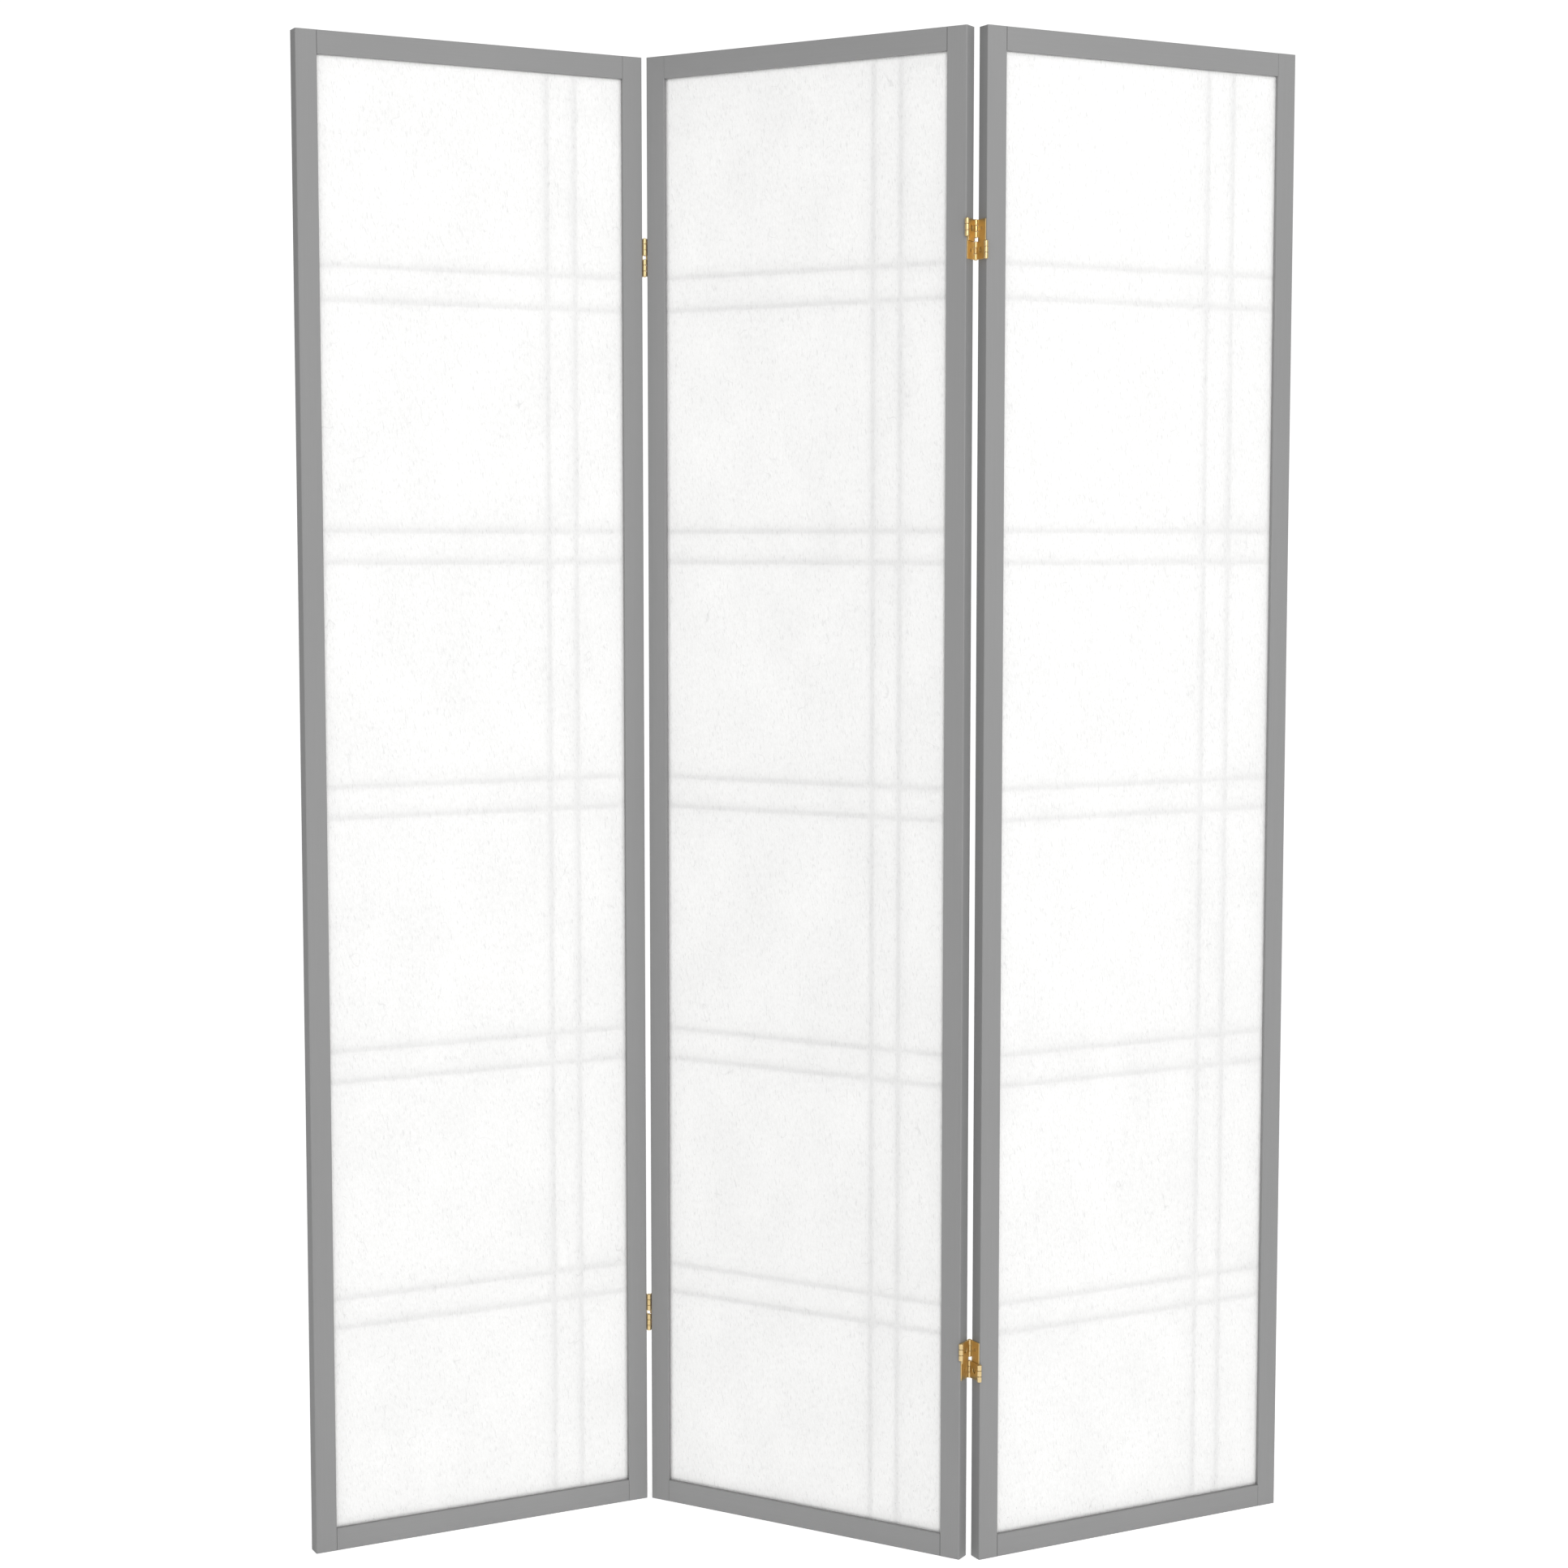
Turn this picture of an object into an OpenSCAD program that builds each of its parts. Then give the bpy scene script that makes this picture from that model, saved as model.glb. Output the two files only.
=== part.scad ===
// Folding shoji screen: three wooden frames filled with paper over a double-cross lattice.
// The frames stand on the floor in a zigzag and are joined by two-way brass screen hinges.
// Lengths are in millimetres, angles in degrees. The origin is on the floor, at the middle of
// the footprint. +X runs along the screen, +Y is the lattice side, +Z is up.

/* [Panel frame] */
// Width of one panel
panel_w = 433.4; // [430:0.1:600]
// Height of the screen
panel_h = 1784.35; // [1700:0.05:2200]
// Thickness of the frame
panel_t = 19; // [18:0.5:30]
// Face width of the upright stiles
stile_w = 25.4; // [22:0.1:45]
// Face height of the top and bottom rails
rail_h = 27; // [24:0.5:60]
// Bevel along the two outer edges of a stile
outer_ease = 0.8; // [0.6:0.1:1.2]
// Bevel along the edges beside the paper
inner_ease = 0.4; // [0.2:0.1:0.8]

/* [Joinery] */
// Length of the tenons on the rails
tenon_l = 16; // [10:1:18]
// Thickness of the tenons on the rails
tenon_t = 6; // [4:0.5:8]
// Shoulder above and below each rail tenon
tenon_shoulder = 4; // [3:0.5:6]
// Length of the stub tenons on the lattice bars
stub_l = 4; // [2:0.5:6]
// Width of the stub tenons across the face
stub_w = 3; // [2:0.5:4]
// Depth of the stub tenons, front to back
stub_d = 5; // [3:0.5:6]

/* [Paper] */
// Thickness of the paper
paper_t = 0.5; // [0.3:0.1:0.8]
// Distance from the plain face of the frame back to the paper
paper_setback = 4.8; // [4:0.1:5.5]
// Depth of the groove that holds the paper
groove_depth = 3; // [2:0.5:3.5]
// Play of the paper in its groove
groove_play = 0.1; // [0.05:0.05:0.2]

/* [Lattice] */
// Face width of a lattice bar
bar_w = 6; // [4:0.5:8]
// Depth of a lattice bar, front to back
bar_d = 9; // [8:0.5:12]
// Distance from the left edge of a panel to the middle of the pair of uprights
upright_pair_x = 328.5; // [300:0.5:340]
// Spacing of the two uprights
upright_gap = 36; // [30:0.5:40]
// Heights of the middles of the five pairs of cross bars
cross_pair_z = [286.5, 583, 896.2, 1195.5, 1500];
// Spacings of the two bars within each pair, from the bottom up
cross_gap = [35, 37, 36.5, 37, 39.5];

/* [Hinges] */
// Height of a hinge
hinge_h = 45.5; // [45:0.5:48]
// Distance from each end of the panel to the middle of the hinge
hinge_inset = 239; // [150:1:260]
// Gap between two panels that stand in line
gap = 4.2; // [4.2:0.1:5]
// Distance from a panel face out to the pin line on that side
pin_out = 1.65; // [1.6:0.05:2.5]
// Thickness of the hinge leaves
leaf_t = 1.2; // [1:0.1:1.2]
// Length of each barrel of three knuckles
barrel_l = 20.2; // [18:0.1:21]
// Axial gap between knuckles
knuckle_gap = 0.5; // [0.2:0.05:0.5]
// Radius of the hinge pins
pin_r = 1.45; // [1.2:0.05:1.45]
// Radial clearance of the pins in the knuckles
pin_play = 0.05; // [0.02:0.01:0.1]
// Radius of the peened pin heads
pin_head_r = 1.7; // [1.6:0.1:2]
// Height of the peened pin heads
pin_head_h = 0.8; // [0.6:0.1:1]

/* [Screws] */
// Height of the screws above and below the middle of the hinge
screw_z = 12.4; // [11:0.1:13]
// Shift of each screw from mid-thickness towards its plate's barrel
screw_shift = 0.7; // [0:0.1:0.8]
// Radius of the screw heads
screw_head_r = 2.3; // [2.1:0.1:2.5]
// Core radius of the screws
screw_r = 1.15; // [1:0.05:1.3]
// Length of the screws under the head
screw_l = 13; // [10:0.5:16]
// Radius of the access holes in the links
access_r = 3.2; // [3.1:0.1:3.4]

/* [Stance] */
// Direction in which the left panel runs
left_turn = 27.45; // [10:0.05:35]
// Direction in which the middle panel runs
middle_turn = -30.4; // [-35:0.05:-10]
// Direction in which the right panel runs
right_turn = 27.6; // [10:0.05:35]

/* [Hidden] */
$fn = 48;
eps = 0.01;
over_run = 1;

// Colours
frame_grey = [0.61, 0.61, 0.61];
paper_white = [0.96, 0.96, 0.95];
brass = [0.78, 0.58, 0.25];
screw_brass = [0.70, 0.52, 0.24];

// Panel
opening_w = panel_w - 2 * stile_w;
opening_h = panel_h - 2 * rail_h;
tenon_h = rail_h - 2 * tenon_shoulder;
tenon_y = (panel_t - tenon_t) / 2;
paper_edge = groove_depth - groove_play;
groove_y = paper_setback - groove_play;
groove_t = paper_t + groove_play;
lattice_y = paper_setback + paper_t;
lap_y = lattice_y + bar_d / 2;
stub_y = lattice_y + (bar_d - stub_d) / 2;
upright_x = [for (side = [-1, 1]) upright_pair_x + side * upright_gap / 2];
cross_z = [
    for (i = [0:len(cross_pair_z) - 1])
        [for (side = [-1, 1]) cross_pair_z[i] + side * cross_gap[i] / 2]
];
all_cross_z = [for (pair = cross_z) each pair];

// Hinge, about the middle of the gap, the plain face of the panels and the hinge's mid-height
near_y = -pin_out;
far_y = panel_t + pin_out;
bore_r = pin_r + pin_play;
knuckle_r = bore_r + leaf_t;
roll_gap = 0.15;
barrel_top = hinge_h / 2;
barrel_base = barrel_top - barrel_l;
knuckle_l = (barrel_l - 2 * knuckle_gap) / 3;
knuckle_step = knuckle_l + knuckle_gap;
outer_knuckles = [barrel_base, barrel_base + 2 * knuckle_step];
middle_knuckle = [barrel_base + knuckle_step];
knuckle_clear = 0.4;
leaf_back = knuckle_r + knuckle_clear;
leaf_near = near_y + leaf_back;
leaf_far = far_y - leaf_back;
link_clear = 0.25;
plate_x = -gap / 2;
pin_dome_r = (pow(pin_head_r, 2) + pow(pin_head_h, 2)) / (2 * pin_head_h);

// Screws
screw_play = 0.03;
screw_sink = screw_head_r - screw_r;
screw_dome_h = 0.25;
screw_dome_r = (pow(screw_head_r, 2) + pow(screw_dome_h, 2)) / (2 * screw_dome_h);
drive_l = 2.6;
drive_w = 0.5;
drive_depth = 0.9;
tip_l = 2.5;
tip_r = 0.2;
hinge_heights = [hinge_inset, panel_h - hinge_inset];

// Stance: where the folded panels put their outermost points, so that the footprint is centred
left_fold = left_turn - middle_turn;
right_fold = right_turn - middle_turn;
left_pin = [plate_x, near_y];
right_pin = [panel_w - plate_x, far_y];
function turned(p, angle) = [
    p.x * cos(angle) - p.y * sin(angle),
    p.x * sin(angle) + p.y * cos(angle)
];
function from_left(p) = left_pin + turned(p - [panel_w - plate_x, near_y], left_fold);
function from_right(p) = right_pin + turned(p - [plate_x, far_y], right_fold);
function beside(p, side) = turned(p, middle_turn) + side * knuckle_r * [1, 1];
panel_corners = [[outer_ease, 0], [0, outer_ease], [0, panel_t - outer_ease], [outer_ease, panel_t]];
left_corners = [for (p = panel_corners) turned(from_left(p), middle_turn)];
right_corners = [for (p = panel_corners) turned(from_right([panel_w - p.x, p.y]), middle_turn)];
barrel_points = [
    for (p = [from_left([panel_w - plate_x, far_y]), [panel_w - plate_x, near_y]])
        for (side = [-1, 1]) beside(p, side)
];
far_barrel_points = [
    for (p = [[plate_x, far_y], from_right([plate_x, near_y])])
        for (side = [-1, 1]) beside(p, side)
];
plan_points = concat(left_corners, right_corners, barrel_points, far_barrel_points);
plan_x = [for (p = plan_points) p.x];
plan_y = [for (p = plan_points) p.y];
middle_x = -(min(plan_x) + max(plan_x)) / 2;
middle_y = -(min(plan_y) + max(plan_y)) / 2;

// ---- Placing: each panel's own frame has its left plain-face bottom corner at the origin ----

module middle_panel() {
    translate([middle_x, middle_y, 0]) rotate(middle_turn) children();
}

module left_panel() {
    middle_panel()
        translate(left_pin)
            rotate(left_fold)
                translate([plate_x - panel_w, pin_out, 0])
                    children();
}

module right_panel() {
    middle_panel()
        translate(right_pin)
            rotate(right_fold)
                translate([-plate_x, -far_y, 0])
                    children();
}

// The middle of the gap beside a panel's right-hand or left-hand edge
module right_gap() {
    translate([panel_w - plate_x, 0, 0]) children();
}

module left_gap() {
    translate([plate_x, 0, 0]) children();
}

// The same places in the frames of the panels on either side of the two joints
module on_left() {
    left_panel() right_gap() children();
}

module on_middle_left() {
    middle_panel() left_gap() children();
}

module on_middle_right() {
    middle_panel() right_gap() children();
}

module on_right() {
    right_panel() left_gap() children();
}

module at_upper_hinge() {
    translate([0, 0, hinge_heights[1]]) children();
}

module at_lower_hinge() {
    translate([0, 0, hinge_heights[0]]) children();
}

module at_both_hinges() {
    at_lower_hinge() children();
    at_upper_hinge() children();
}

// Turns a hinge part of the left plate's hand into the right plate's hand
module other_hand() {
    rotate([0, 180, 0]) children();
}

// Both joints of the middle panel, for parts drawn for a left plate
module on_middle_both() {
    on_middle_right() at_both_hinges() children();
    on_middle_left() at_both_hinges() other_hand() children();
}

// ---- Frame ----

// Section of a stile, with its outer edges bevelled and its inner edges eased
module stile_section() {
    polygon([
        [outer_ease, 0],
        [stile_w - inner_ease, 0],
        [stile_w, inner_ease],
        [stile_w, panel_t - inner_ease],
        [stile_w - inner_ease, panel_t],
        [outer_ease, panel_t],
        [0, panel_t - outer_ease],
        [0, outer_ease]
    ]);
}

module rail_mortise(z) {
    translate([stile_w - tenon_l, tenon_y, z])
        cube([tenon_l + eps, tenon_t, tenon_h]);
}

module stile_groove() {
    translate([stile_w - groove_depth, groove_y, rail_h - groove_depth])
        cube([groove_depth + eps, groove_t, opening_h + 2 * groove_depth]);
}

module cross_bar_sockets() {
    for (z = all_cross_z)
        translate([stile_w - stub_l, stub_y, z - stub_w / 2])
            cube([stub_l + eps, stub_d, stub_w]);
}

// A stile for the left-hand edge of a panel
module left_stile() {
    color(frame_grey)
        difference() {
            linear_extrude(panel_h) stile_section();
            rail_mortise(tenon_shoulder);
            rail_mortise(panel_h - rail_h + tenon_shoulder);
            stile_groove();
            cross_bar_sockets();
        }
}

module right_stile() {
    translate([panel_w, 0, 0])
        mirror([1, 0, 0])
            left_stile();
}

// The same stiles with pilot holes for the screws of two hinges
module hinged_left_stile() {
    color(frame_grey)
        difference() {
            left_stile();
            left_gap() at_both_hinges() other_hand() screw_holes();
        }
}

module hinged_right_stile() {
    color(frame_grey)
        difference() {
            right_stile();
            right_gap() at_both_hinges() screw_holes();
        }
}

// Section of a rail, drawn with the panel's thickness along x and its height along y
module rail_section() {
    polygon([
        [inner_ease, 0],
        [panel_t - inner_ease, 0],
        [panel_t, inner_ease],
        [panel_t, rail_h - inner_ease],
        [panel_t - inner_ease, rail_h],
        [inner_ease, rail_h],
        [0, rail_h - inner_ease],
        [0, inner_ease]
    ]);
}

module upright_sockets() {
    for (x = upright_x)
        translate([x - stub_w / 2, stub_y, rail_h - stub_l])
            cube([stub_w, stub_d, stub_l + eps]);
}

module bottom_rail() {
    color(frame_grey)
        difference() {
            union() {
                translate([stile_w, 0, 0])
                    rotate([90, 0, 90])
                        linear_extrude(opening_w) rail_section();
                translate([stile_w - tenon_l, tenon_y, tenon_shoulder])
                    cube([opening_w + 2 * tenon_l, tenon_t, tenon_h]);
            }
            translate([stile_w - eps, groove_y, rail_h - groove_depth])
                cube([opening_w + 2 * eps, groove_t, groove_depth + eps]);
            upright_sockets();
        }
}

module top_rail() {
    translate([0, 0, panel_h])
        mirror([0, 0, 1])
            bottom_rail();
}

// ---- Paper and lattice ----

module paper() {
    color(paper_white)
        translate([stile_w - paper_edge, paper_setback, rail_h - paper_edge])
            cube([opening_w + 2 * paper_edge, paper_t, opening_h + 2 * paper_edge]);
}

// A lattice bar along +X from the edge of the opening, centred in height, with its two stubs
module lattice_bar(length) {
    translate([0, lattice_y, -bar_w / 2])
        cube([length, bar_d, bar_w]);
    translate([-stub_l, stub_y, -stub_w / 2])
        cube([length + 2 * stub_l, stub_d, stub_w]);
}

// Upright bar against the paper, half-lapped over the cross bars at its back
module upright(x) {
    color(frame_grey)
        difference() {
            translate([x, 0, rail_h])
                rotate([0, -90, 0])
                    lattice_bar(opening_h);
            for (z = all_cross_z)
                translate([x - bar_w / 2 - eps, lap_y, z - bar_w / 2])
                    cube([bar_w + 2 * eps, bar_d / 2 + eps, bar_w]);
        }
}

// Pair of cross bars, half-lapped behind the uprights
module cross_bars(pair) {
    color(frame_grey)
        for (z = cross_z[pair])
            difference() {
                translate([stile_w, 0, z])
                    lattice_bar(opening_w);
                for (x = upright_x)
                    translate([x - bar_w / 2, lattice_y - eps, z - bar_w / 2 - eps])
                        cube([bar_w, bar_d / 2 + eps, bar_w + 2 * eps]);
            }
}

// ---- Hinge: each half of its height has one barrel on each pin line ----

// Flat leaf between the two pin lines
module leaf(x, z, height) {
    translate([x, leaf_near, z])
        cube([leaf_t, leaf_far - leaf_near, height]);
}

// Knuckles in the upper half, with the tabs that carry them on the leaf
module knuckles(leaf_x, pin_y, bases) {
    tab_y = pin_y < leaf_near ? pin_y : leaf_far;
    for (z = bases) {
        translate([leaf_x, tab_y, z])
            cube([leaf_t, leaf_back, knuckle_l]);
        translate([0, pin_y, z])
            cylinder(h = knuckle_l, r = knuckle_r);
    }
}

// Bore through the upper barrel on one pin line
module pin_bore(pin_y) {
    translate([0, pin_y, barrel_base - over_run])
        cylinder(h = barrel_l + 2 * over_run, r = bore_r);
}

// Slit where the rolled end of each knuckle comes back to the inner face of its leaf
module roll_slits(leaf_x, pin_y, bases) {
    slit_y = pin_y < leaf_near ? pin_y : pin_y - knuckle_r;
    for (z = bases)
        translate([leaf_x + leaf_t, slit_y, z - eps])
            cube([roll_gap, knuckle_r, knuckle_l + 2 * eps]);
}

// Places of the two screws of the left plate, with +Z along each screw into the wood
module screw_places() {
    for (side = [-1, 1])
        translate([plate_x + leaf_t, panel_t / 2 - side * screw_shift, side * screw_z])
            rotate([0, -90, 0])
                children();
}

module screw_holes() {
    screw_places()
        cylinder(h = screw_l + leaf_t, r = screw_r + screw_play);
}

module countersink() {
    cylinder(h = screw_sink, r1 = screw_head_r + screw_play, r2 = screw_r + screw_play);
    cylinder(h = leaf_t + over_run, r = screw_r + screw_play);
}

// Plate screwed to the panel on the left of the joint
module left_plate() {
    color(brass)
        difference() {
            union() {
                leaf(plate_x, -barrel_top, hinge_h);
                knuckles(plate_x, near_y, outer_knuckles);
                mirror([0, 0, 1]) knuckles(plate_x, far_y, outer_knuckles);
            }
            pin_bore(near_y);
            mirror([0, 0, 1]) pin_bore(far_y);
            roll_slits(plate_x, near_y, outer_knuckles);
            mirror([0, 0, 1]) roll_slits(plate_x, far_y, outer_knuckles);
            screw_places() countersink();
        }
}

// Link between the near and far pins of the upper half, its leaf starting at base
module link(base) {
    color(brass)
        difference() {
            union() {
                leaf(-leaf_t / 2, base, barrel_top - base);
                knuckles(-leaf_t / 2, near_y, middle_knuckle);
                knuckles(-leaf_t / 2, far_y, middle_knuckle);
            }
            pin_bore(near_y);
            pin_bore(far_y);
            roll_slits(-leaf_t / 2, near_y, middle_knuckle);
            roll_slits(-leaf_t / 2, far_y, middle_knuckle);
            translate([-leaf_t, panel_t / 2, screw_z])
                rotate([0, 90, 0])
                    cylinder(h = 2 * leaf_t, r = access_r);
        }
}

module right_plate() {
    other_hand() left_plate();
}

// The upper link also fills the height between the barrels
module upper_link() {
    link(link_clear - barrel_base);
}

module lower_link() {
    other_hand() link(barrel_base);
}

// Domed head of a pin, standing on the end of a barrel
module pin_head() {
    intersection() {
        translate([0, 0, pin_head_h - pin_dome_r]) sphere(r = pin_dome_r);
        cylinder(h = pin_head_h, r = pin_head_r + eps);
    }
}

module pin(pin_y) {
    translate([0, pin_y, barrel_base]) {
        cylinder(h = barrel_l, r = pin_r);
        translate([0, 0, barrel_l]) pin_head();
        mirror([0, 0, 1]) pin_head();
    }
}

// The two pins that the left plate's knuckles hold
module plate_pins() {
    color(brass) {
        pin(near_y);
        mirror([0, 0, 1]) pin(far_y);
    }
}

module screw() {
    difference() {
        union() {
            translate([0, 0, -screw_dome_h])
                intersection() {
                    cylinder(h = screw_dome_h, r = screw_head_r);
                    translate([0, 0, screw_dome_r]) sphere(r = screw_dome_r);
                }
            cylinder(h = screw_sink, r1 = screw_head_r, r2 = screw_r);
            cylinder(h = screw_l - tip_l, r = screw_r);
            translate([0, 0, screw_l - tip_l])
                cylinder(h = tip_l, r1 = screw_r, r2 = tip_r);
        }
        for (angle = [0, 90])
            rotate(angle)
                translate([-drive_l / 2, -drive_w / 2, -screw_dome_h - eps])
                    cube([drive_l, drive_w, drive_depth]);
    }
}

module plate_screws() {
    color(screw_brass)
        screw_places() screw();
}

left_panel() left_stile();  // left_outer_stile
left_panel() hinged_right_stile();  // left_hinge_stile
left_panel() top_rail();  // left_top_rail
left_panel() bottom_rail();  // left_bottom_rail
left_panel() paper();  // left_paper
left_panel() upright(upright_x[0]);  // left_upright_1
left_panel() upright(upright_x[1]);  // left_upright_2
left_panel() cross_bars(0);  // left_cross_bars_1
left_panel() cross_bars(1);  // left_cross_bars_2
left_panel() cross_bars(2);  // left_cross_bars_3
left_panel() cross_bars(3);  // left_cross_bars_4
left_panel() cross_bars(4);  // left_cross_bars_5
middle_panel() hinged_left_stile();  // middle_left_stile
middle_panel() hinged_right_stile();  // middle_right_stile
middle_panel() top_rail();  // middle_top_rail
middle_panel() bottom_rail();  // middle_bottom_rail
middle_panel() paper();  // middle_paper
middle_panel() upright(upright_x[0]);  // middle_upright_1
middle_panel() upright(upright_x[1]);  // middle_upright_2
middle_panel() cross_bars(0);  // middle_cross_bars_1
middle_panel() cross_bars(1);  // middle_cross_bars_2
middle_panel() cross_bars(2);  // middle_cross_bars_3
middle_panel() cross_bars(3);  // middle_cross_bars_4
middle_panel() cross_bars(4);  // middle_cross_bars_5
right_panel() hinged_left_stile();  // right_hinge_stile
right_panel() right_stile();  // right_outer_stile
right_panel() top_rail();  // right_top_rail
right_panel() bottom_rail();  // right_bottom_rail
right_panel() paper();  // right_paper
right_panel() upright(upright_x[0]);  // right_upright_1
right_panel() upright(upright_x[1]);  // right_upright_2
right_panel() cross_bars(0);  // right_cross_bars_1
right_panel() cross_bars(1);  // right_cross_bars_2
right_panel() cross_bars(2);  // right_cross_bars_3
right_panel() cross_bars(3);  // right_cross_bars_4
right_panel() cross_bars(4);  // right_cross_bars_5
on_left() at_upper_hinge() left_plate();  // left_upper_hinge_left_plate
on_left() at_upper_hinge() lower_link();  // left_upper_hinge_lower_link
on_middle_left() at_upper_hinge() upper_link();  // left_upper_hinge_upper_link
on_middle_left() at_upper_hinge() right_plate();  // left_upper_hinge_right_plate
on_left() at_lower_hinge() left_plate();  // left_lower_hinge_left_plate
on_left() at_lower_hinge() lower_link();  // left_lower_hinge_lower_link
on_middle_left() at_lower_hinge() upper_link();  // left_lower_hinge_upper_link
on_middle_left() at_lower_hinge() right_plate();  // left_lower_hinge_right_plate
on_middle_right() at_upper_hinge() left_plate();  // right_upper_hinge_left_plate
on_middle_right() at_upper_hinge() upper_link();  // right_upper_hinge_upper_link
on_right() at_upper_hinge() lower_link();  // right_upper_hinge_lower_link
on_right() at_upper_hinge() right_plate();  // right_upper_hinge_right_plate
on_middle_right() at_lower_hinge() left_plate();  // right_lower_hinge_left_plate
on_middle_right() at_lower_hinge() upper_link();  // right_lower_hinge_upper_link
on_right() at_lower_hinge() lower_link();  // right_lower_hinge_lower_link
on_right() at_lower_hinge() right_plate();  // right_lower_hinge_right_plate
on_left() at_both_hinges() plate_pins();  // left_hinge_pins
on_middle_both() plate_pins();  // middle_hinge_pins
on_right() at_both_hinges() other_hand() plate_pins();  // right_hinge_pins
on_left() at_both_hinges() plate_screws();  // left_hinge_screws
on_middle_both() plate_screws();  // middle_hinge_screws
on_right() at_both_hinges() other_hand() plate_screws();  // right_hinge_screws
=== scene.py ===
import math

import bpy
import numpy as np
from mathutils import Matrix, Vector, noise


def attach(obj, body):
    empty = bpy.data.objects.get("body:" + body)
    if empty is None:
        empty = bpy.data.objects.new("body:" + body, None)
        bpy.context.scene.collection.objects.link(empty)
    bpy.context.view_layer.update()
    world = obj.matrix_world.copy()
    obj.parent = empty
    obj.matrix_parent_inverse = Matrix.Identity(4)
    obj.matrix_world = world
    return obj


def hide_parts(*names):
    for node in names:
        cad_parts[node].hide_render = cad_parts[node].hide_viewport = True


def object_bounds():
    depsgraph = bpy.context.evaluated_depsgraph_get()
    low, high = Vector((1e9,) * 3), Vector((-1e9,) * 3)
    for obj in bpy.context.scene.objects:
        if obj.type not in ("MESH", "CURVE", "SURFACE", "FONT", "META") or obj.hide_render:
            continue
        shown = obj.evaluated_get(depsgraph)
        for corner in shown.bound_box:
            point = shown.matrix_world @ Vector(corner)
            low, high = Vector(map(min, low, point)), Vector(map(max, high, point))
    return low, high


# Looks of a folding shoji screen: satin grey frames, fibrous translucent paper and brass hinges.
# Lengths are in metres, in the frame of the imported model. Each panel also has a frame of its own:
# x runs along the panel, y from its plain face to its lattice face, and z up.
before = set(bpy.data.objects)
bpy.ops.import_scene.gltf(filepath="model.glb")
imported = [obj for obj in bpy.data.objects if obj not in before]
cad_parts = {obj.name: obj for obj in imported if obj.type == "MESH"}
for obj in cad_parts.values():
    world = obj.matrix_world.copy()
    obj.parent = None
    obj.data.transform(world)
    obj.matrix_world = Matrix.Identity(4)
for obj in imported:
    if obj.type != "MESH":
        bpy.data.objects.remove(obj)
cad_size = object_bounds()

MM = 0.001
PANELS = ("left", "middle", "right")

# Camera: its place, how far it looks down, its lens and the width of its sensor in millimetres
CAMERA_PLACE = (-0.0248, -3.3772, 1.1981)
CAMERA_PITCH = math.radians(4.84)
CAMERA_LENS = 64.93
CAMERA_SENSOR = 36

# Light, in units in which a white wall under a light of 1 shows as white. A span gives the
# part of a direction along x, y or z between which the surroundings change.
KEY_AIM = (0, 0, 0.9)
KEY_DISTANCE = 4.6
KEY_AZIMUTH = math.radians(16)
KEY_ELEVATION = math.radians(24)
KEY_SIZE = 1.1
KEY_POWER = 64
BACKDROP_LIGHT = 1.08
FRONT_LIGHT = 0.89
FRONT_TO_BACK_SPAN = (-0.3, 0.3)
BACK_LEFT_LIGHT = 0.05
LEFT_SPAN = (-0.7, -0.4)
NOT_FRONT_SPAN = (-0.75, -0.3)
RIGHT_LIGHT = 0.66
RIGHT_SPAN = (0.5, 0.95)
TOP_LIGHT = 0.55
TOP_SPAN = (0.3, 0.75)

# Floor: its size, its place under the screen, its glow, colour, pattern and roughness
FLOOR_RADIUS = 60
FLOOR_SIDES = 96
FLOOR_DROP = 0.2 * MM
FLOOR_GLOW = 0.65
FLOOR_WHITE = (0.8, 0.8, 0.8)
FLOOR_CLOUD = (5, 5, 5)
FLOOR_TONES = (0.98, 1)
FLOOR_ROUGHNESS = 0.9

# Softening of the CAD pieces: how near points are joined, the angles that count as flat and as
# an edge, and the width of each kind of edge
WELD_REACH = 0.01 * MM
PLANE_ANGLE = math.radians(1)
EDGE_ANGLE = math.radians(35)
EDGE_SEGMENTS = 2
FLAT_WEIGHT = 100
WOOD_EDGE = 0.25 * MM
BRASS_EDGE = 0.28 * MM
PIN_EDGE = 0.1 * MM
SCREW_EDGE = 0.15 * MM

# A pattern's size is given as its features in a metre along x, y and z. This is the span that
# most values of a noise pattern lie in.
NOISE_SPAN = (0.3, 0.7)

# Paint: its colour, its patterns, their tones, its roughness and its relief
FRAME_GREY = (0.259, 0.259, 0.259)
GRAIN_ALONG = 9
GRAIN_ACROSS = 620
PAINT_CLOUD = (7, 7, 3)
PAINT_STIPPLE = (1900, 1900, 1900)
PAINT_TONES = (0.985, 1.015)
PAINT_ROUGHNESS = (0.6, 0.72)
PAINT_RELIEF = 0.03 * MM
GRAIN_SHARE = 0.7
STIPPLE_SHARE = 0.3
PAINT_IOR = 1.46
PAINT_SPECULAR = 0.3

# The fine dark line where rails and cross bars meet the stiles
STILE_WIDTH = 25.4 * MM
LINE_SPAN = (0.15 * MM, 0.6 * MM)
LINE_TONE = 0.45

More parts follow.
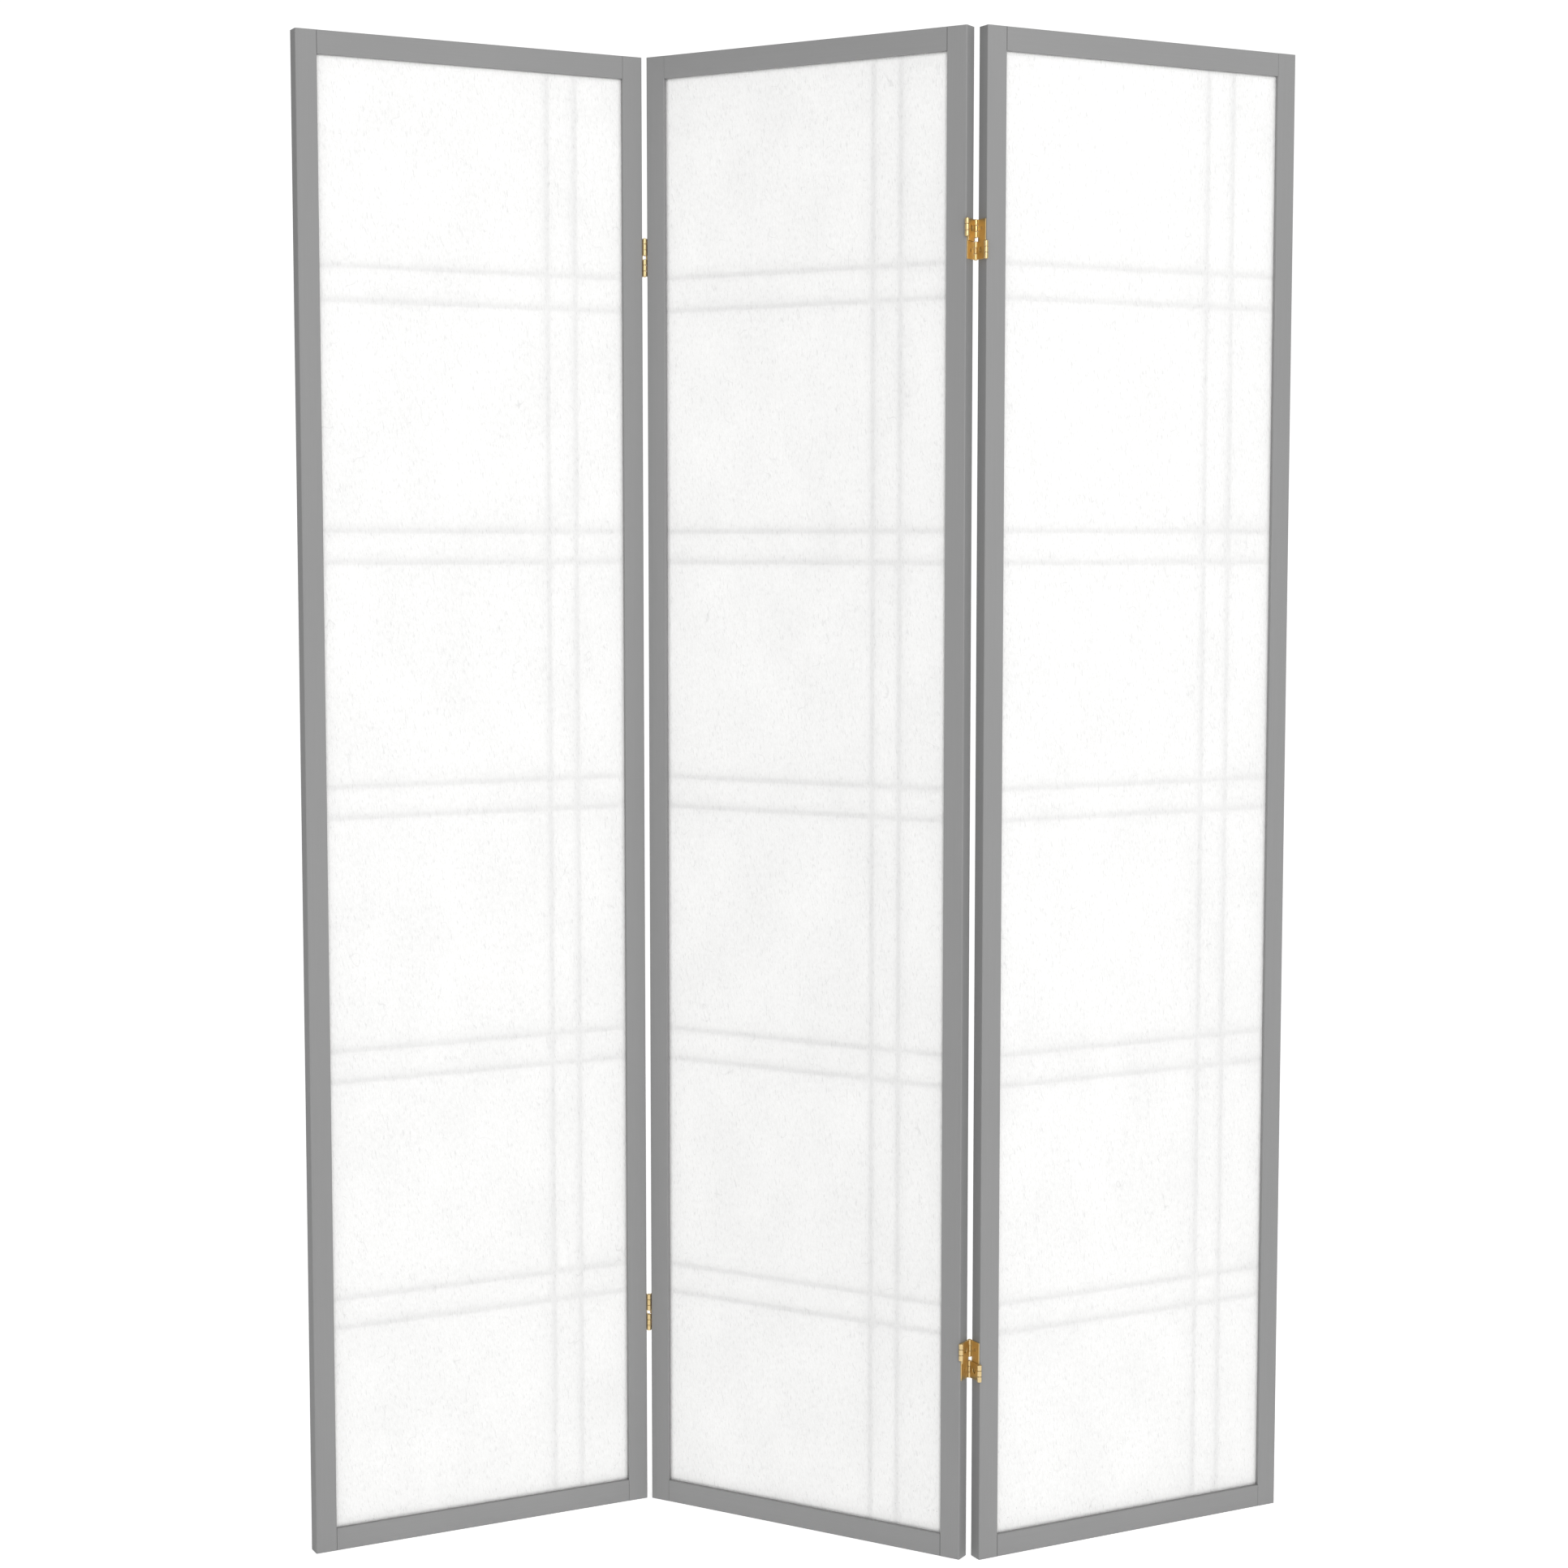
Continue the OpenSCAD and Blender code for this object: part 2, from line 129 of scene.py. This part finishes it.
# Brass: its colours, its roughness, its patterns, their spans and tones, and its relief
BRASS = (0.68, 0.52, 0.27)
# The screws are darker than the hinge brass: partly a duller finish of their own, partly painted
# shade standing in for the shadow inside the links' access holes around their heads
SCREW_BRASS_WITH_PAINTED_SHADE = (0.52, 0.38, 0.2)
BRASS_ROUGHNESS = (0.32, 0.37)
SCREW_ROUGHNESS = (0.34, 0.4)
TARNISH = (160, 160, 110)
TARNISH_SPAN = (0.35, 0.68)
TARNISH_TONES = (1.01, 0.96)
TARNISH_ROUGH_SPAN = (0.35, 0.7)
ROLLING_LINES = (500, 500, 9000)
SCRATCHES = (6000, 6000, 500)
SCRATCH_SLANT = 0.5
SCRATCH_SPAN = (0.3, 0.75)
SCRATCH_TONES = (0.98, 1.02)
ROLLING_SHARE = 0.5
SCRATCH_SHARE = 0.5
BRASS_RELIEF = 0.002 * MM

# Paper: its colour, the share of light that passes through it, its patterns, their spans and
# tones, its roughness and its relief
PAPER_WHITE = (0.968, 0.967, 0.962)
PAPER_PASS = 0.31
PAPER_SLANT = math.radians(9)
MOTTLE = (420, 420, 190)
MOTTLE_TONES = (0.95, 1.025)
PAPER_CLOUD = (16, 16, 11)
CLOUD_TONES = (0.985, 1.01)
FLECK = (760, 760, 130)
FLECK_SPAN = (0.6, 0.72)
FLECK_TONE = 0.9
HAIR = (34, 34, 20)
HAIR_MIDDLE = 0.5
HAIR_WIDTH = 0.006
HAIR_PATCHES = (70, 70, 45)
HAIR_SPAN = (0.6, 0.68)
HAIR_TONE = 0.91
SPECK_CELLS = (160, 160, 160)
SPECK_EDGE = (0.07, 0.13)
SPECK_HEIGHT = (50 * MM, 160 * MM)
SPECK_SPAN = (0.56, 0.66)
SPECK_TONE = 0.72
PAPER_ROUGHNESS = 0.85
PAPER_SPECULAR = 0.15
PAPER_RELIEF = 0.04 * MM

# The sheets of paper: their mesh, their room in the grooves, and how they billow away from
# what holds them
PAPER_CELL = 8 * MM
PAPER_CLEAR = 0.03 * MM
PAPER_BILLOW = 0.3 * MM
BILLOW_LENGTH = 140 * MM
HOLD_REACH = 32 * MM
UPRIGHTS = 2
CROSS_PAIRS = 5


# ---- Placing ----

def plan_of(panel):
    """The panel's frame, as a matrix from its own axes to the row frame, with its origin at the
    middle of the paper's foot."""
    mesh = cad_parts[panel + "_paper"].data
    points = np.array([v.co for v in mesh.vertices])
    middle = (points.min(0) + points.max(0)) / 2
    plan = points[:, :2] - middle[:2]
    along = np.linalg.eigh(plan.T @ plan)[1][:, -1]
    turn = math.atan2(along[1], along[0])
    if math.cos(turn) < 0:
        turn += math.pi
    foot = Vector((middle[0], middle[1], points[:, 2].min()))
    return Matrix.Translation(foot) @ Matrix.Rotation(turn, 4, "Z")


def local_points(node, place):
    """The points of a CAD node in a panel's own frame."""
    inverse = place.inverted()
    return np.array([inverse @ v.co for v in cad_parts[node].data.vertices])


def halves(values):
    """The middles of two groups of values that lie apart."""
    split = (values.min() + values.max()) / 2
    groups = (values[values < split], values[values >= split])
    return [(group.min() + group.max()) / 2 for group in groups]


def frame_of(panel):
    """The names of the panel's stiles and rails."""
    return [
        name
        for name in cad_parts
        if name.startswith(panel) and name.endswith(("stile", "rail"))
    ]


def half_opening(panel, place):
    """Half the distance between the panel's stiles."""
    stiles = [name for name in frame_of(panel) if name.endswith("stile")]
    outer = max(abs(local_points(name, place)[:, 0]).max() for name in stiles)
    return float(outer) - STILE_WIDTH


def lattice_lines(panel, place):
    """Where the lattice bars hold the paper, across the panel and up it."""
    across = [
        local_points(f"{panel}_upright_{i + 1}", place)[:, 0].mean() for i in range(UPRIGHTS)
    ]
    up = []
    for i in range(CROSS_PAIRS):
        up += halves(local_points(f"{panel}_cross_bars_{i + 1}", place)[:, 2])
    return across, up


# ---- Node helpers ----

def add(tree, kind, inputs=None, **settings):
    """Adds a shader node. An input is a value, or another node's output socket."""
    made = tree.nodes.new(kind)
    for name, value in settings.items():
        setattr(made, name, value)
    for name, value in (inputs or {}).items():
        if isinstance(value, bpy.types.NodeSocket):
            tree.links.new(value, made.inputs[name])
        else:
            made.inputs[name].default_value = value
    return made


def new_material(name):
    """A material with an empty tree, its Principled shader and its output."""
    material = bpy.data.materials.new(name)
    material.use_nodes = True
    tree = material.node_tree
    tree.nodes.clear()
    shader = add(tree, "ShaderNodeBsdfPrincipled")
    output = add(tree, "ShaderNodeOutputMaterial", {"Surface": shader.outputs["BSDF"]})
    return material, tree, shader, output


def stretched(tree, scale, turn=0, slant=0):
    """Object coordinates, leaned by slant about y, turned back by turn about z and scaled to a
    pattern's size."""
    place = add(tree, "ShaderNodeTexCoord").outputs["Object"]
    turned = add(tree, "ShaderNodeMapping", {"Vector": place, "Rotation": (0, slant, -turn)})
    return add(
        tree, "ShaderNodeMapping", {"Vector": turned.outputs["Vector"], "Scale": scale}
    ).outputs["Vector"]


def noise_at(tree, vector, detail=3, roughness=0.5):
    """Noise with about one feature in each unit of vector."""
    return add(
        tree,
        "ShaderNodeTexNoise",
        {"Vector": vector, "Scale": 1, "Detail": detail, "Roughness": roughness},
    ).outputs["Fac"]


def ranged(tree, value, span, result, smooth=False):
    """value, taken from the two ends of span to the two ends of result."""
    return add(
        tree,
        "ShaderNodeMapRange",
        {
            "Value": value,
            "From Min": span[0],
            "From Max": span[1],
            "To Min": result[0],
            "To Max": result[1],
        },
        interpolation_type="SMOOTHSTEP" if smooth else "LINEAR",
    ).outputs["Result"]


def maths(tree, operation, a, b=0):
    """The result of one operation on one or two numbers."""
    return add(tree, "ShaderNodeMath", {0: a, 1: b}, operation=operation).outputs["Value"]


def times(tree, *factors):
    """The product of several factors."""
    product = factors[0]
    for factor in factors[1:]:
        product = maths(tree, "MULTIPLY", product, factor)
    return product


def tinted(tree, colour, factor):
    """A colour, scaled by a factor that varies over the surface."""
    return add(
        tree, "ShaderNodeVectorMath", {0: colour, "Scale": factor}, operation="SCALE"
    ).outputs["Vector"]


def bumped(tree, height, distance):
    """The normal of a surface that a height of 1 raises by distance."""
    return add(
        tree, "ShaderNodeBump", {"Height": height, "Distance": distance, "Strength": 1}
    ).outputs["Normal"]


# ---- Materials ----

def joint_lines(tree, place, half_width):
    """A factor that darkens a fine line where level pieces end, half_width from the middle of
    the panel's opening."""
    turn = place.to_euler().z
    middle = (Matrix.Rotation(-turn, 4, "Z") @ place.translation).x
    across = add(
        tree, "ShaderNodeSeparateXYZ", {"Vector": stretched(tree, (1, 1, 1), turn)}
    ).outputs["X"]
    from_middle = maths(tree, "ABSOLUTE", maths(tree, "SUBTRACT", across, middle))
    from_end = maths(tree, "SUBTRACT", half_width, from_middle)
    return ranged(tree, from_end, LINE_SPAN, (LINE_TONE, 1), smooth=True)


def painted_wood(name, place, half_width=None):
    """Satin paint over closed straight grain. The grain runs up a piece, or along it where
    half_width is given, which is half the length that shows between the stiles."""
    material, tree, shader, _ = new_material(name)
    turn = place.to_euler().z
    if half_width:
        grain_scale = (GRAIN_ALONG, GRAIN_ACROSS, GRAIN_ACROSS)
    else:
        grain_scale = (GRAIN_ACROSS, GRAIN_ACROSS, GRAIN_ALONG)
    grain = noise_at(tree, stretched(tree, grain_scale, turn), detail=4, roughness=0.6)
    cloud = noise_at(tree, stretched(tree, PAINT_CLOUD, turn), detail=2)
    stipple = noise_at(tree, stretched(tree, PAINT_STIPPLE), detail=2)
    shade = times(
        tree,
        ranged(tree, grain, NOISE_SPAN, PAINT_TONES),
        ranged(tree, cloud, NOISE_SPAN, PAINT_TONES),
    )
    if half_width:
        shade = times(tree, shade, joint_lines(tree, place, half_width))
    tree.links.new(tinted(tree, FRAME_GREY, shade), shader.inputs["Base Color"])
    rough = ranged(tree, stipple, NOISE_SPAN, PAINT_ROUGHNESS)
    tree.links.new(rough, shader.inputs["Roughness"])
    grain_height = times(tree, grain, GRAIN_SHARE)
    height = maths(tree, "ADD", grain_height, times(tree, stipple, STIPPLE_SHARE))
    tree.links.new(bumped(tree, height, PAINT_RELIEF), shader.inputs["Normal"])
    shader.inputs["IOR"].default_value = PAINT_IOR
    shader.inputs["Specular IOR Level"].default_value = PAINT_SPECULAR
    return material


def paper_material():
    """Thin fibrous paper: fine mottling, short upright flecks, a few long hairs, and some
    specks low down. It lets light through, so that the lattice shows as soft shade."""
    material, tree, shader, output = new_material("shoji_paper")
    mottle = noise_at(tree, stretched(tree, MOTTLE, slant=PAPER_SLANT), detail=2, roughness=0.7)
    fleck = noise_at(tree, stretched(tree, FLECK, slant=PAPER_SLANT), detail=1)
    cloud = noise_at(tree, stretched(tree, PAPER_CLOUD), detail=1)
    strand = noise_at(tree, stretched(tree, HAIR), detail=1)
    patches = noise_at(tree, stretched(tree, HAIR_PATCHES), detail=0)
    from_contour = maths(tree, "ABSOLUTE", maths(tree, "SUBTRACT", strand, HAIR_MIDDLE))
    hair = times(
        tree,
        ranged(tree, from_contour, (0, HAIR_WIDTH), (1, 0), smooth=True),
        ranged(tree, patches, HAIR_SPAN, (0, 1), smooth=True),
    )
    cells = add(
        tree, "ShaderNodeTexVoronoi", {"Vector": stretched(tree, SPECK_CELLS), "Scale": 1}
    ).outputs["Distance"]
    height_up = add(
        tree, "ShaderNodeSeparateXYZ", {"Vector": stretched(tree, (1, 1, 1))}
    ).outputs["Z"]
    specks = times(
        tree,
        ranged(tree, cells, SPECK_EDGE, (1, 0), smooth=True),
        ranged(tree, height_up, SPECK_HEIGHT, (1, 0)),
        ranged(tree, patches, SPECK_SPAN, (0, 1), smooth=True),
    )
    shade = times(
        tree,
        ranged(tree, mottle, NOISE_SPAN, MOTTLE_TONES),
        ranged(tree, cloud, NOISE_SPAN, CLOUD_TONES),
        ranged(tree, fleck, FLECK_SPAN, (1, FLECK_TONE), smooth=True),
        ranged(tree, hair, (0, 1), (1, HAIR_TONE)),
        ranged(tree, specks, (0, 1), (1, SPECK_TONE)),
    )
    colour = tinted(tree, PAPER_WHITE, shade)
    tree.links.new(colour, shader.inputs["Base Color"])
    shader.inputs["Roughness"].default_value = PAPER_ROUGHNESS
    shader.inputs["Specular IOR Level"].default_value = PAPER_SPECULAR
    tree.links.new(bumped(tree, fleck, PAPER_RELIEF), shader.inputs["Normal"])
    passing = add(tree, "ShaderNodeBsdfTranslucent", {"Color": colour})
    both = add(
        tree,
        "ShaderNodeMixShader",
        {0: PAPER_PASS, 1: shader.outputs["BSDF"], 2: passing.outputs["BSDF"]},
    )
    tree.links.new(both.outputs["Shader"], output.inputs["Surface"])
    return material


def polished_brass(name, colour, roughness):
    """Lacquered brass sheet: faint rolling lines, fine scratches and a little uneven tarnish."""
    material, tree, shader, _ = new_material(name)
    tarnish = noise_at(tree, stretched(tree, TARNISH), detail=4, roughness=0.6)
    lines = noise_at(tree, stretched(tree, ROLLING_LINES), detail=2, roughness=0.6)
    scratches = noise_at(tree, stretched(tree, SCRATCHES, slant=SCRATCH_SLANT), detail=1)
    shade = times(
        tree,
        ranged(tree, tarnish, TARNISH_SPAN, TARNISH_TONES),
        ranged(tree, scratches, SCRATCH_SPAN, SCRATCH_TONES),
    )
    tree.links.new(tinted(tree, colour, shade), shader.inputs["Base Color"])
    shader.inputs["Metallic"].default_value = 1
    rough = ranged(tree, tarnish, TARNISH_ROUGH_SPAN, roughness)
    tree.links.new(rough, shader.inputs["Roughness"])
    line_height = times(tree, lines, ROLLING_SHARE)
    height = maths(tree, "ADD", line_height, times(tree, scratches, SCRATCH_SHARE))
    tree.links.new(bumped(tree, height, BRASS_RELIEF), shader.inputs["Normal"])
    return material


# ---- Pieces ----

def soften(node, edge):
    """Closes a CAD piece's seams, joins the triangles of its flat faces and rounds its sharp
    edges a little."""
    weld = node.modifiers.new("weld", "WELD")
    weld.merge_threshold = WELD_REACH
    planes = node.modifiers.new("planes", "DECIMATE")
    planes.decimate_type = "DISSOLVE"
    planes.angle_limit = PLANE_ANGLE
    bevel = node.modifiers.new("bevel", "BEVEL")
    bevel.width = edge
    bevel.segments = EDGE_SEGMENTS
    bevel.limit_method = "ANGLE"
    bevel.angle_limit = EDGE_ANGLE
    bevel.use_clamp_overlap = False
    normals = node.modifiers.new("normals", "WEIGHTED_NORMAL")
    normals.keep_sharp = False
    normals.weight = FLAT_WEIGHT


def finish_node(node, material, edge):
    """Gives a CAD piece its material and softens its edges."""
    node.data.materials.clear()
    node.data.materials.append(material)
    soften(node, edge)


def hold(value, lines):
    """From 0 on a line that holds the paper to 1 well away from all of them."""
    nearest = min(abs(value - line) for line in lines)
    return 1 - math.exp(-((nearest / HOLD_REACH) ** 2))


def sheet_faces(columns, rows):
    """The faces of a closed sheet whose points are a grid in front and the same grid behind:
    those of its two sides, and those of its edge all round."""
    behind = columns * rows
    corners = [row * columns + column for row in range(rows - 1) for column in range(columns - 1)]
    fronts = [[c, c + 1, c + columns + 1, c + columns] for c in corners]
    backs = [[behind + i for i in reversed(face)] for face in fronts]
    rim = list(range(columns))
    rim += [row * columns + columns - 1 for row in range(1, rows)]
    rim += [(rows - 1) * columns + column for column in range(columns - 2, -1, -1)]
    rim += [row * columns for row in range(rows - 2, 0, -1)]
    edge = [[b, a, behind + a, behind + b] for a, b in zip(rim, rim[1:] + rim[:1])]
    return fronts + backs, edge


def paper_sheet(panel, place, material):
    """The panel's sheet of paper: held by the frame and the lattice, and free to billow a
    little between them."""
    box = local_points(panel + "_paper", place)
    low, high = box.min(0) + PAPER_CLEAR, box.max(0) - PAPER_CLEAR
    across, up = lattice_lines(panel, place)
    across += [low[0], high[0]]
    up += [low[2], high[2]]
    columns = round((high[0] - low[0]) / PAPER_CELL) + 1
    rows = round((high[2] - low[2]) / PAPER_CELL) + 1
    seed = PANELS.index(panel)
    points = []
    for y in (low[1], high[1]):
        for z in np.linspace(low[2], high[2], rows):
            for x in np.linspace(low[0], high[0], columns):
                wave = noise.noise(Vector((x, seed, z)) / BILLOW_LENGTH)
                lift = PAPER_BILLOW * wave * hold(x, across) * hold(z, up)
                points.append(place @ Vector((x, y + lift, z)))
    sides, edge = sheet_faces(columns, rows)
    mesh = bpy.data.meshes.new(panel + "_paper_sheet")
    mesh.from_pydata(points, [], sides + edge)
    for face in mesh.polygons[: len(sides)]:
        face.use_smooth = True
    mesh.materials.append(material)
    piece = bpy.data.objects.new(panel + "_paper_sheet", mesh)
    bpy.context.scene.collection.objects.link(piece)
    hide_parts(panel + "_paper")
    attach(piece, panel + "_panel")


# ---- Stage ----

def floor():
    """A wide pale floor."""
    turns = [2 * math.pi * i / FLOOR_SIDES for i in range(FLOOR_SIDES)]
    rim = [(FLOOR_RADIUS * math.cos(a), FLOOR_RADIUS * math.sin(a), 0) for a in turns]
    mesh = bpy.data.meshes.new("floor")
    mesh.from_pydata(rim, [], [list(range(FLOOR_SIDES))])
    material, tree, shader, _ = new_material("floor")
    cloud = noise_at(tree, stretched(tree, FLOOR_CLOUD))
    tone = ranged(tree, cloud, NOISE_SPAN, FLOOR_TONES)
    tree.links.new(tinted(tree, FLOOR_WHITE, tone), shader.inputs["Base Color"])
    shader.inputs["Roughness"].default_value = FLOOR_ROUGHNESS
    shader.inputs["Specular IOR Level"].default_value = 0
    shader.inputs["Emission Color"].default_value = (1, 1, 1, 1)
    shader.inputs["Emission Strength"].default_value = FLOOR_GLOW
    material.cycles.emission_sampling = "NONE"
    mesh.materials.append(material)
    piece = bpy.data.objects.new("floor", mesh)
    piece.location.z = cad_size[0][2] - FLOOR_DROP
    bpy.context.scene.collection.objects.link(piece)


def surroundings():
    """Soft studio surroundings: white behind the screen, a little less in front of it, and
    dimmer to the right, at the back left and overhead."""
    world = bpy.data.worlds.new("studio")
    bpy.context.scene.world = world
    world.use_nodes = True
    tree = world.node_tree
    tree.nodes.clear()
    direction = add(tree, "ShaderNodeTexCoord").outputs["Generated"]
    parts = add(tree, "ShaderNodeSeparateXYZ", {"Vector": direction}).outputs
    front_to_back = ranged(
        tree, parts["Y"], FRONT_TO_BACK_SPAN, (FRONT_LIGHT, BACKDROP_LIGHT), smooth=True
    )
    left = ranged(tree, parts["X"], LEFT_SPAN, (1, 0), smooth=True)
    not_front = ranged(tree, parts["Y"], NOT_FRONT_SPAN, (0, 1), smooth=True)
    back_left = ranged(tree, times(tree, left, not_front), (0, 1), (1, BACK_LEFT_LIGHT))
    right = ranged(tree, parts["X"], RIGHT_SPAN, (1, RIGHT_LIGHT), smooth=True)
    around = times(tree, front_to_back, back_left, right)
    dome = ranged(tree, parts["Z"], TOP_SPAN, (1, TOP_LIGHT), smooth=True)
    sky = add(tree, "ShaderNodeBackground", {"Strength": times(tree, around, dome)})
    sky.inputs["Color"].default_value = (1, 1, 1, 1)
    add(tree, "ShaderNodeOutputWorld", {"Surface": sky.outputs["Background"]})


def key_light():
    """A softbox to the right of the camera and above it."""
    light = bpy.data.lights.new("key", "AREA")
    light.shape = "SQUARE"
    light.size = KEY_SIZE
    light.energy = KEY_POWER
    lamp = bpy.data.objects.new("key", light)
    level = math.cos(KEY_ELEVATION)
    direction = Vector(
        (
            level * math.sin(KEY_AZIMUTH),
            -level * math.cos(KEY_AZIMUTH),
            math.sin(KEY_ELEVATION),
        )
    )
    lamp.location = Vector(KEY_AIM) + KEY_DISTANCE * direction
    lamp.rotation_euler = direction.to_track_quat("Z", "Y").to_euler()
    lamp.visible_camera = False
    bpy.context.scene.collection.objects.link(lamp)


def camera():
    """A camera at chest height before the screen's plain side, looking slightly down."""
    lens = bpy.data.cameras.new("camera")
    lens.lens = CAMERA_LENS
    lens.sensor_width = CAMERA_SENSOR
    eye = bpy.data.objects.new("camera", lens)
    eye.location = CAMERA_PLACE
    eye.rotation_euler = (math.pi / 2 - CAMERA_PITCH, 0, 0)
    bpy.context.scene.collection.objects.link(eye)
    bpy.context.scene.camera = eye
    bpy.context.scene.view_settings.view_transform = "Standard"


# ---- The screen ----

camera()
key_light()
surroundings()
floor()

hinge_brass = polished_brass("hinge_brass", BRASS, BRASS_ROUGHNESS)
# The screws' material carries painted shade: its darker colour stands in for the shadow in the
# access holes around the heads
screw_brass = polished_brass("screw_brass", SCREW_BRASS_WITH_PAINTED_SHADE, SCREW_ROUGHNESS)
paper = paper_material()
for panel in PANELS:
    place = plan_of(panel)
    opening = half_opening(panel, place)
    upright_paint = painted_wood(f"paint_{panel}_upright", place)
    level_paint = painted_wood(f"paint_{panel}_level", place, opening)
    for name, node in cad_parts.items():
        if not name.startswith(panel):
            continue
        if "stile" in name or "upright" in name:
            finish_node(node, upright_paint, WOOD_EDGE)
        elif "rail" in name or "cross_bars" in name:
            finish_node(node, level_paint, WOOD_EDGE)
    paper_sheet(panel, place, paper)
for name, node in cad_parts.items():
    if name.endswith("screws"):
        finish_node(node, screw_brass, SCREW_EDGE)
    elif name.endswith("pins"):
        finish_node(node, hinge_brass, PIN_EDGE)
    elif name.endswith(("plate", "link")):
        finish_node(node, hinge_brass, BRASS_EDGE)
